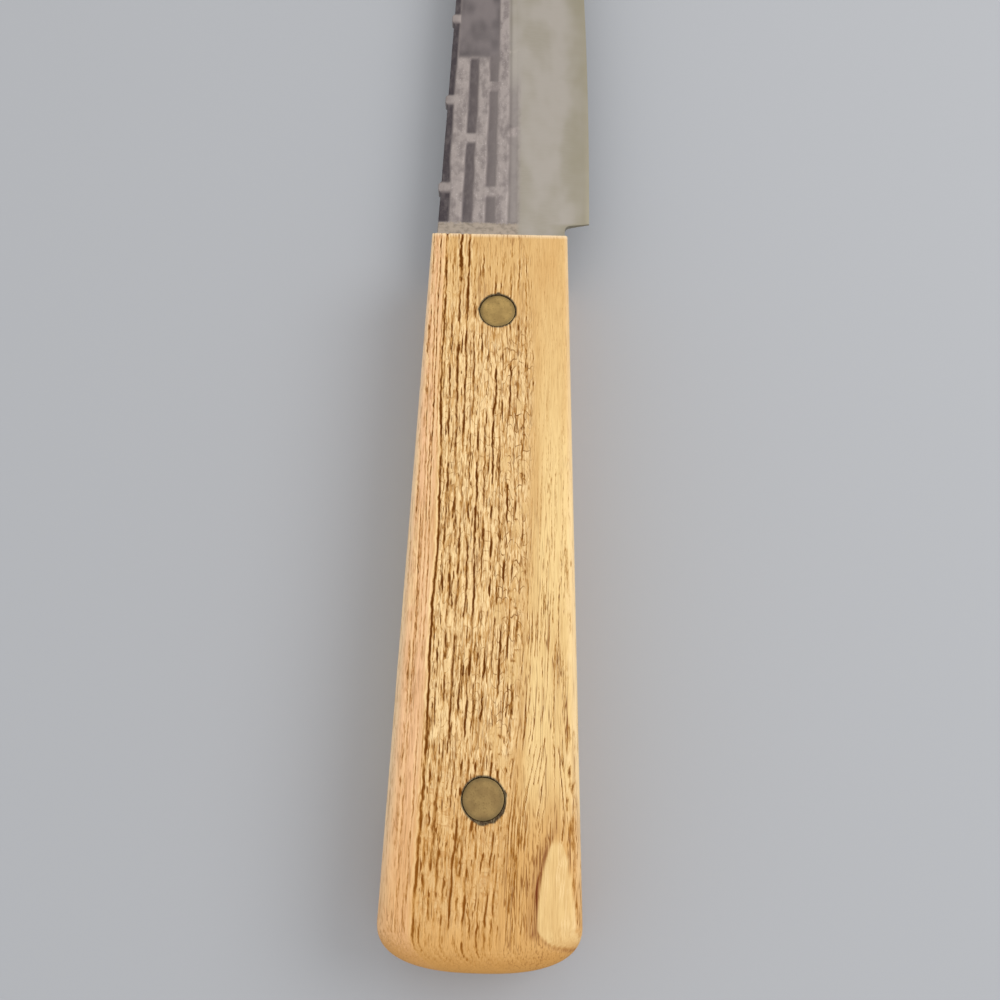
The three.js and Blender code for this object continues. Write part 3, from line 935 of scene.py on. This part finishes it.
def blade_heights(x, y, across, seed):
    """Height of one face above the middle of the blade, and maps of what its finish shows there."""
    half = half_thickness(y)[:, None]
    y = y[:, None]
    grind = spine_x(np.maximum(y, HEEL_Y)) + flat_width(y)
    bevel_end = np.maximum(edge_x(np.maximum(y, HEEL_Y)), grind + EDGE_THICKNESS)
    wedge = np.clip((x - grind) / (bevel_end - grind), 0, 1)
    plunge_end = RICASSO_LENGTH - NOTCH_RADIUS
    ground = smooth(plunge_end - PLUNGE_LENGTH, plunge_end, y)
    z = half - ground * wedge * (half - EDGE_THICKNESS / 2)
    rows = np.broadcast_to(y, x.shape)
    sunk, panel, ground_flat, step = forged_pattern(x, rows)
    on_flat = smooth(1.03, 0.97, across) * smooth(0, PATTERN_START, rows)
    dents = noise(seed, x, rows, DENT_CELL) * (1 - 0.8 * panel)
    pits = noise(seed + 1, x, rows, PIT_CELL)
    z = z - on_flat * (GROOVE_DEPTH * sunk + FORGE_DENT * blend(dents, pits, PIT_SHARE))
    z = z * blend(TIP_POINT, 1, smooth(0, TIP_POINT_LENGTH, BLADE_LENGTH - y))
    z[:, 0] -= np.minimum(CORNER_EASE, z[:, 0] * 0.3)
    z[:, -1] = np.where(y[:, 0] > HEEL_Y, EDGE_TIP, z[:, -1])
    z[:, -1] = np.where(y[:, 0] < 0, z[:, -1] - CORNER_EASE, z[:, -1])
    charts = dict(
        groove=sunk * on_flat,
        panel=panel * on_flat,
        ground=np.maximum(ground_flat, smooth(0.96, 1.06, across)),
        step=step,
        bump=on_bridge(0, rows) * smooth(0.14, 0.05, across),
        plain=smooth(0.4, -0.8, rows - PATTERN_START),
        across=across,
    )
    return z, charts


def stem_hole(angle):
    """The round rim of a stem's hole in the tang."""
    return np.full_like(angle, STEM_RADIUS)


def blade_mesh(name):
    """Both faces of the blade and tang, joined along their outline and round the stem holes."""
    x, y, across = blade_plan()
    rows, columns = x.shape
    count = rows * columns
    points = []
    faces = []
    maps = []
    for side, seed in FACE_SEEDS.items():
        height, charts = blade_heights(x, y, across, seed)
        grid = np.stack([x, np.broadcast_to(y[:, None], x.shape), side * height], axis=2).reshape(-1, 3)
        quads = grid_faces(rows, columns)
        for rivet in RIVETS:
            quads = open_hole(grid, quads, rivet_y(rivet), stem_hole)
        faces.append(quads + count * len(points))
        points.append(grid)
        maps.append(charts)
    long_side = np.arange(rows) * columns
    end = np.arange(columns)
    for line in (long_side, long_side + columns - 1, end, end + count - columns):
        faces.append(np.stack([line[:-1], line[1:], line[1:] + count, line[:-1] + count], axis=1))
    charts = {label: np.stack([face[label] for face in maps]) for label in maps[0]}
    mesh = mesh_with(name, np.vstack(points), np.vstack(faces), charts)
    with editing(mesh) as bm:
        for rivet in RIVETS:
            bmesh.ops.bridge_loops(bm, edges=rim_of(bm, rivet_y(rivet), STEM_RADIUS))
    return mesh


# Rivets
TURN_STEPS = 96
ARC_STEPS = 5
DOME_STEPS = 8
WELD_DISTANCE = 0.0005


def arc(x, z, radius, start, end):
    """Points of a rounded corner as radius and height; angles in degrees."""
    angles = np.radians(np.linspace(start, end, ARC_STEPS))
    return [(x + radius * math.cos(a), z + radius * math.sin(a)) for a in angles]


def head_profile():
    """A head from its middle to its seat: a shallow dome with an eased edge."""
    rim = HEAD_RADIUS - HEAD_EASE
    steps = [i / DOME_STEPS for i in range(DOME_STEPS)]
    dome = [(rim * step, HEAD_OUTER - HEAD_DOME * step ** 2) for step in steps]
    edge = arc(rim, HEAD_OUTER - HEAD_DOME - HEAD_EASE, HEAD_EASE, 90, 0)
    return dome + edge + [(HEAD_RADIUS, HEAD_OUTER - HEAD_THICKNESS)]


def pin_profile():
    return head_profile() + [
        (PIN_RADIUS, HEAD_OUTER - HEAD_THICKNESS),
        *arc(PIN_RADIUS - HEAD_EASE, PIN_END + HEAD_EASE, HEAD_EASE, 0, -90),
        (0, PIN_END),
    ]


def socket_profile():
    """The socket as it lies on the upper side, with its mouth turned down."""
    bore = PIN_RADIUS + PIN_CLEARANCE
    return head_profile() + [
        (SOCKET_RADIUS, HEAD_OUTER - HEAD_THICKNESS),
        (SOCKET_RADIUS, -SOCKET_MOUTH),
        (bore, -SOCKET_MOUTH),
        (bore, HEAD_OUTER - SOCKET_FLOOR),
        (0, HEAD_OUTER - SOCKET_FLOOR),
    ]


def turned_mesh(name, profile, centre_y, side):
    """A profile turned about Z. side -1 lays it on the lower side."""
    radius, height = np.array(profile).T
    angle = np.linspace(0, 2 * math.pi, TURN_STEPS, endpoint=False)[:, None]
    points = np.stack([
        radius * np.cos(angle),
        centre_y + radius * np.sin(angle),
        np.broadcast_to(side * height, (TURN_STEPS, len(height))),
    ], axis=2)
    ring = np.vstack([points, points[:1]])
    charts = dict(rim=np.tile(radius / HEAD_RADIUS, TURN_STEPS + 1))
    mesh = mesh_with(name, ring.reshape(-1, 3), grid_faces(TURN_STEPS + 1, len(height)), charts)
    with editing(mesh) as bm:
        bmesh.ops.remove_doubles(bm, verts=bm.verts, dist=WELD_DISTANCE)
    return mesh


# Finishes
BLACK = (0, 0, 0, 1)
WHITE = (1, 1, 1, 1)
PLATE_LENGTH = 2.4
PLATE_GAP = 0.17
PLATE_GAP_SOFT = 0.8
PLATE_SHIFT = 3  # how far the plates of neighbouring layers are shifted along them
PLATE_BEND = 0.25
PLATE_SQUASH = 0.7  # how long the shorter plates are, as a share of the others
PLATE_SQUASH_ROWS = 3  # every third layer has them


def srgb(red, green, blue):
    """A colour as seen on screen, 0 to 255, as the linear colour of a shader."""
    return tuple(
        c / 12.92 if c <= 0.04045 else ((c + 0.055) / 1.055) ** 2.4
        for c in (red / 255, green / 255, blue / 255)
    ) + (1,)


class Finish:
    """A material, with short calls for the nodes that the finishes share."""

    def __init__(self, name):
        self.material = bpy.data.materials.new(name)
        self.material.use_nodes = True
        self.tree = self.material.node_tree
        self.surface = self.tree.nodes["Principled BSDF"]
        self.place = self.node("TexCoord", {})["Object"]

    def feed(self, socket, value):
        if isinstance(value, bpy.types.NodeSocket):
            self.tree.links.new(value, socket)
        else:
            socket.default_value = value

    def node(self, kind, inputs, **settings):
        """Adds a node and feeds its inputs, given by name or number. Returns its outputs."""
        node = self.tree.nodes.new("ShaderNode" + kind)
        for name, value in settings.items():
            setattr(node, name, value)
        for key, value in inputs.items():
            self.feed(node.inputs[key], value)
        return node.outputs

    def chart(self, name):
        return self.node("Attribute", {}, attribute_name=name)["Fac"]

    def noise(self, size, detail=2, rough=0.5, twist=0, at=(0, 0, 0)):
        """Noise with features of a size given in mm along X, Y and Z, seen at a place of its own."""
        counts = [1 / (length * MM) for length in size]
        spot = self.node("VectorMath", {0: self.place, 1: counts, 2: at}, operation="MULTIPLY_ADD")[0]
        inputs = dict(Vector=spot, Scale=1, Detail=detail, Roughness=rough, Distortion=twist)
        return self.node("TexNoise", inputs)["Fac"]

    def plates(self, layer, shift, ragged):
        """Plates flaked along the growth layers: the gaps between them, and a tone for each plate."""
        along = self.node("SeparateXYZ", {0: self.place})[1]
        along = self.math("MULTIPLY_ADD", along, 1 / MM, shift)
        inputs = {
            "Vector": self.node("CombineXYZ", {0: along, 1: self.math("ADD", layer, ragged)})[0],
            "Color1": BLACK,
            "Color2": WHITE,
            "Scale": 1,
            "Mortar Size": PLATE_GAP,
            "Mortar Smooth": PLATE_GAP_SOFT,
            "Brick Width": PLATE_LENGTH,
            "Row Height": LAYER_WIDTH,
        }
        bricks = self.node("TexBrick", inputs, squash=PLATE_SQUASH, squash_frequency=PLATE_SQUASH_ROWS)
        return bricks["Fac"], bricks["Color"]

    def seam(self, noise, width):
        """1 on the winding lines where a noise passes its middle, fading to 0 over a width."""
        return self.span(self.math("ABSOLUTE", self.math("SUBTRACT", noise, 0.5)), 0, width, 1, 0)

    def span(self, value, low, high, start=0, end=1):
        """value from low to high, softly mapped from start to end."""
        inputs = dict(enumerate((value, low, high, start, end)))
        return self.node("MapRange", inputs, interpolation_type="SMOOTHSTEP")[0]

    def math(self, operation, *values):
        return self.node("Math", dict(enumerate(values)), operation=operation)[0]

    def times(self, product, *values):
        for value in values:
            product = self.math("MULTIPLY", product, value)
        return product

    def mix(self, share, first, second):
        return self.node("Mix", {0: share, 6: first, 7: second}, data_type="RGBA")[2]

    def coats(self, colour, *coats):
        """A colour under coats of others, each given with the share that it covers."""
        for share, coat in coats:
            colour = self.mix(share, colour, coat)
        return colour

    def facing(self, axis):
        """How squarely the surface faces along an axis, either way."""
        normal = self.node("NewGeometry", {})["True Normal"]
        return self.math("ABSOLUTE", self.node("SeparateXYZ", {0: normal})[axis])

    def bump(self, height, depth, strength):
        """Fine relief of a depth in mm."""
        inputs = dict(Strength=strength, Distance=depth * MM, Height=height)
        self.feed(self.surface.inputs["Normal"], self.node("Bump", inputs)["Normal"])

    def set(self, **values):
        for name, value in values.items():
            self.feed(self.surface.inputs[name.replace("_", " ")], value)
        return self.material


def wood_finish(name, offset):
    finish = Finish(name)
    span = finish.span
    times = finish.times
    pore = finish.chart("pore")
    rough = finish.chart("rough")
    woven = finish.chart("woven")
    streaky = finish.chart("streaky")
    pale = finish.chart("pale")
    amber = finish.chart("amber")
    fibre = finish.noise((0.14, 3.5, 0.14), detail=3, at=offset)
    streak = finish.noise((0.5, 18, 0.5), detail=4, rough=0.65, at=offset)
    cloud = finish.noise((4, 18, 4), at=offset)
    dash = finish.noise((0.24, 2.8, 0.24), rough=0.6, at=(3.1, 5.7, 9.2))
    fleck = finish.noise((0.24, 2.6, 0.24), rough=0.6, at=offset)
    grain = finish.noise((0.13, 0.9, 0.13), rough=0.6, at=(2.9, 6.1, 7.5))
    patch = finish.noise((1.6, 4.5, 1.6), detail=1, at=(5.2, 7.9, 0.4))
    vein = finish.noise((0.8, 24, 0.8), at=(1.7, 2.2, 4.8))
    sparse = finish.noise((2, 14, 2), detail=1, at=(6.3, 0.9, 3.5))
    stroke = finish.noise((0.42, 7, 0.42), rough=0.55, at=(4.6, 8.8, 1.1))
    tick = finish.noise((0.36, 2.6, 0.36), rough=0.55, at=(9.7, 3.4, 5.9))
    ripple = finish.noise((1.1, 1, 1.1), rough=0.65, twist=0.5, at=(8.3, 1.9, 6.6))
    shift = span(finish.noise((1.3, 9, 1.3), detail=0, at=offset), 0.2, 0.8, 0, PLATE_SHIFT)
    bend = span(finish.noise((0.6, 1.1, 0.6), detail=0, at=offset), 0.2, 0.8, 0, PLATE_BEND)
    gaps, tone = finish.plates(finish.chart("layer"), shift, bend)

    # What lies on the wood, painted highlights and shade among it: shares from 0 to 1
    shade = times(span(tone, 0.5, 0.25, 0, 0.25), rough)
    # painted highlights: light flecks over the rough strip and the rims beside growth lines, with the
    # plates' lighter tone
    light = finish.math("MAXIMUM", span(fleck, 0.42, 0.6), span(tone, 0.5, 0.7, 0, 0.6))
    light = finish.math("MAXIMUM", times(light, rough), span(finish.chart("highlight_rims"), 0, 0.35, 0, 0.8))
    light = times(light, span(amber, 0, 1, 1, 0.4))
    dashes = times(span(dash, 0.54, 0.66), streaky, span(pale, 0, 1, 1, 0.15))
    veins = times(finish.seam(vein, 0.025), span(sparse, 0.4, 0.6, 0.2, 1), streaky)
    cracks = times(gaps, span(patch, 0.38, 0.58, 0.05, 0.9), rough)
    cracks = times(cracks, span(woven, 0, 0.6, 0.4, 1), span(amber, 0, 0.6, 1, 0.2))
    ripples = times(span(ripple, 0.5, 0.68, 0, 0.5), rough, span(amber, 0.1, 0.5, 0.2, 1))
    ticks = times(span(tick, 0.39, 0.3), span(amber, 0, 0.6, 0.3, 0.6))
    strokes = finish.math("MAXIMUM", span(stroke, 0.37, 0.3, 0, 0.6), ticks)
    strokes = times(strokes, rough, span(woven, 0, 1, 1, 0.8))
    ragged = finish.math("MULTIPLY_ADD", grain, 0.8, finish.math("SUBTRACT", pore, 0.4))
    dark = finish.math("MAXIMUM", ragged, strokes)
    stain = times(finish.chart("stain"), span(stroke, 0.6, 0.4, 0.3, 1))

    core = finish.mix(amber, srgb(104, 54, 2), srgb(140, 83, 22))
    grime_and_shade = finish.mix(span(fleck, 0.45, 0.6), srgb(46, 38, 32), srgb(102, 94, 72))
    wood = finish.coats(
        srgb(225, 183, 121),
        (pale, srgb(247, 214, 151)),
        # pink tint painted on the left strip as painted shade of the side away from the lamp
        (finish.chart("left_strip_shade_tint"), srgb(241, 193, 148)),
        (times(amber, 0.6), srgb(221, 165, 95)),
        (span(cloud, 0.4, 0.75, 0, 0.3), srgb(206, 152, 86)),
        (span(streak, 0.5, 0.78, 0, 0.45), srgb(186, 132, 68)),
        (span(fibre, 0.28, 0.6, 0.3, 0), srgb(176, 126, 64)),
        (span(finish.facing(1), 0.1, 0.6, 0, 0.75), srgb(198, 144, 76)),
        # worn pale edges, with a painted edge highlight
        (times(finish.chart("worn"), 0.85), srgb(248, 222, 184)),
        (shade, srgb(198, 144, 80)),
        # painted highlights, with the plates' lighter tone
        (light, srgb(255, 222, 166)),
        (dashes, srgb(158, 104, 46)),
        (veins, srgb(140, 88, 40)),
        (cracks, srgb(124, 74, 24)),
        (ripples, srgb(194, 137, 74)),
        (span(dark, 0.1, 0.4, 0, 0.7), srgb(168, 110, 30)),
        (span(dark, 0.3, 0.6), core),
        # the drop's dark seam, partly painted shade, and the painted shade line of the crease below it
        (stain, srgb(118, 54, 20)),
        # grime round the holes, and painted shade on the bored walls
        (span(finish.chart("soot_and_shade"), 0.3, 0.95, 0, 0.92), grime_and_shade),
    )

    height = finish.math("MULTIPLY_ADD", fleck, rough, fibre)
    height = finish.math("MULTIPLY_ADD", cracks, -0.5, height)
    height = finish.math("SUBTRACT", height, ripples)
    finish.bump(height, depth=0.08, strength=0.7)
    return finish.set(Base_Color=wood, Roughness=span(pore, 0, 1, 0.6, 0.85), Specular_IOR_Level=0.08)


def steel_finish(name):
    finish = Finish(name)
    span = finish.span
    times = finish.times
    across = finish.chart("across")
    ground = finish.chart("ground")
    scale = finish.noise((1.3, 2.4, 1.3), detail=3, rough=0.55)
    specks = finish.noise((0.3, 0.4, 0.3), rough=0.6)
    brushed = finish.noise((9, 0.15, 0.15))
    haze = finish.noise((7, 12, 7), rough=0.6)
    stain = finish.noise((1.4, 1, 1.4), detail=3, rough=0.6)

    floor = finish.coats(
        srgb(80, 73, 76),
        (span(across, 0.1, 0.5), srgb(116, 107, 106)),
        (span(across, 0.5, 1), srgb(163, 154, 149)),
        (span(scale, 0.4, 0.75, 0, 0.4), srgb(140, 131, 129)),
    )
    ridge = finish.coats(
        srgb(177, 166, 161),
        (span(scale, 0.38, 0.7), srgb(148, 138, 135)),
        (span(specks, 0.6, 0.75, 0, 0.4), srgb(118, 109, 108)),
        (span(specks, 0.38, 0.28, 0, 0.6), srgb(212, 203, 198)),
        (times(finish.chart("bump"), 0.4), srgb(150, 141, 138)),
    )
    dull = finish.mix(span(haze, 0.4, 0.62), srgb(140, 131, 130), srgb(108, 101, 101))
    bare = finish.mix(span(stain, 0.42, 0.68), srgb(182, 168, 153), srgb(154, 142, 129))
    worn = finish.math("ADD", span(specks, 0.35, 0.65, -0.3, 0.3), finish.chart("plain"))
    ragged = finish.math("MULTIPLY_ADD", haze, 0.4, across)
    bevel = finish.coats(
        srgb(182, 174, 164),
        (span(haze, 0.36, 0.64), srgb(171, 163, 149)),
        (span(brushed, 0.35, 0.7, 0, 0.15), srgb(192, 184, 174)),
        (span(ragged, 1.75, 2.25, 0, 0.9), srgb(160, 152, 131)),
    )
    steel = finish.coats(
        ridge,
        (finish.chart("groove"), floor),
        (times(finish.chart("panel"), 0.9), dull),
        (span(worn, 0.2, 0.8), bare),
        (ground, bevel),
        # painted shadow along the step into the last column
        (times(finish.chart("step"), 0.45), srgb(112, 103, 100)),
    )

    forged = finish.math("SUBTRACT", 1, ground)
    height = finish.math("MULTIPLY_ADD", scale, forged, times(brushed, 0.4))
    finish.bump(height, depth=0.02, strength=0.5)
    return finish.set(Base_Color=steel, Metallic=1, Roughness=span(ground, 0, 1, 0.5, 0.36))


def brass_finish(name, bright, dull):
    finish = Finish(name)
    patina = finish.noise((3, 3, 3), detail=3, rough=0.55)
    fine = finish.noise((0.25, 0.25, 0.25), detail=3)
    scratch = finish.noise((3.5, 0.1, 3), twist=0.4)
    brass = finish.coats(
        bright,
        (finish.span(patina, 0.35, 0.7), dull),
        (finish.span(fine, 0.52, 0.75, 0, 0.6), srgb(118, 97, 60)),
        (finish.span(finish.chart("rim"), 0.72, 1, 0, 0.55), srgb(104, 90, 62)),
    )
    finish.bump(finish.math("ADD", scratch, fine), depth=0.015, strength=0.5)
    roughness = finish.span(patina, 0.3, 0.75, 0.34, 0.52)
    return finish.set(Base_Color=brass, Metallic=1, Roughness=roughness)


# Pieces
METAL_CREASE = 40  # degrees from which an edge is shaded sharp
WOOD_CREASE = 55

steel = steel_finish("forged_steel")
finish_piece(blade_mesh("blade_forged"), steel, "blade", METAL_CREASE)

for side, figure in FIGURES.items():
    mesh = scale_mesh(f"{side}_scale_wood", figure)
    mesh.transform(Matrix.Rotation(figure["turn"], 4, "Y"))
    wood = wood_finish(f"{side}_wood", figure["offset"])
    finish_piece(mesh, wood, f"{side}_scale", WOOD_CREASE)

BRASS = dict(
    front_rivet=brass_finish("front_brass", srgb(197, 164, 102), srgb(166, 137, 85)),
    rear_rivet=brass_finish("rear_brass", srgb(170, 141, 91), srgb(142, 116, 75)),
)
for rivet, brass in BRASS.items():
    for half, profile, side in (("pin", pin_profile(), 1), ("socket", socket_profile(), -1)):
        mesh = turned_mesh(f"{rivet}_{half}_brass", profile, rivet_y(rivet), side)
        finish_piece(mesh, brass, f"{rivet}_{half}", METAL_CREASE)

# Floor, light and camera
FLOOR_SIZE = 4
FLOOR_COLOUR = srgb(177, 179, 183)
WORLD_LIGHT = 0.86
LAMP_PLACE = Vector((0.42, 0.02, 0.5))
LAMP_SIZE = 0.45
LAMP_POWER = 1.4
CAMERA_HEIGHT = 156  # above the handle's upper face
CAMERA_X = 2.76
CAMERA_Y = -109.06
CAMERA_TILT = math.radians(20)  # off straight down, towards the tip
CAMERA_TURN = math.radians(1.43)
SENSOR = 36
CLIP_START = 0.01


def add_floor():
    mesh = bpy.data.meshes.new("floor")
    reach = FLOOR_SIZE / 2
    corners = [(-reach, -reach, 0), (reach, -reach, 0), (reach, reach, 0), (-reach, reach, 0)]
    mesh.from_pydata(corners, [], [(0, 1, 2, 3)])
    finish = Finish("floor_paint")
    mesh.materials.append(finish.set(Base_Color=FLOOR_COLOUR, Roughness=0.8, Specular_IOR_Level=0.2))
    add_object("floor", mesh)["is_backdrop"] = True


def add_light():
    world = bpy.data.worlds.new("studio")
    bpy.context.scene.world = world
    world.use_nodes = True
    background = world.node_tree.nodes["Background"]
    background.inputs["Color"].default_value = WHITE
    background.inputs["Strength"].default_value = WORLD_LIGHT
    lamp = bpy.data.lights.new("softbox", "AREA")
    lamp.shape = "DISK"
    lamp.size = LAMP_SIZE
    lamp.energy = LAMP_POWER
    softbox = add_object("softbox", lamp)
    softbox.location = LAMP_PLACE
    softbox.rotation_euler = (-LAMP_PLACE).to_track_quat("-Z", "Y").to_euler()


def add_camera():
    camera = bpy.data.cameras.new("photo_view")
    camera.sensor_width = SENSOR
    camera.lens = SENSOR
    camera.clip_start = CLIP_START
    view = add_object("photo_view", camera)
    spot = Vector(place([CAMERA_X, CAMERA_Y, SCALE_OUTER + CAMERA_HEIGHT]))
    view.matrix_world = Matrix.LocRotScale(spot, Euler((CAMERA_TILT, 0, CAMERA_TURN)), None)
    bpy.context.scene.camera = view


add_floor()
add_light()
add_camera()
bpy.context.scene.view_settings.view_transform = "Standard"

boxes = {"cad": CAD_BOX, "visual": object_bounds()}
{name: [list(corner) for corner in box] for name, box in boxes.items()}
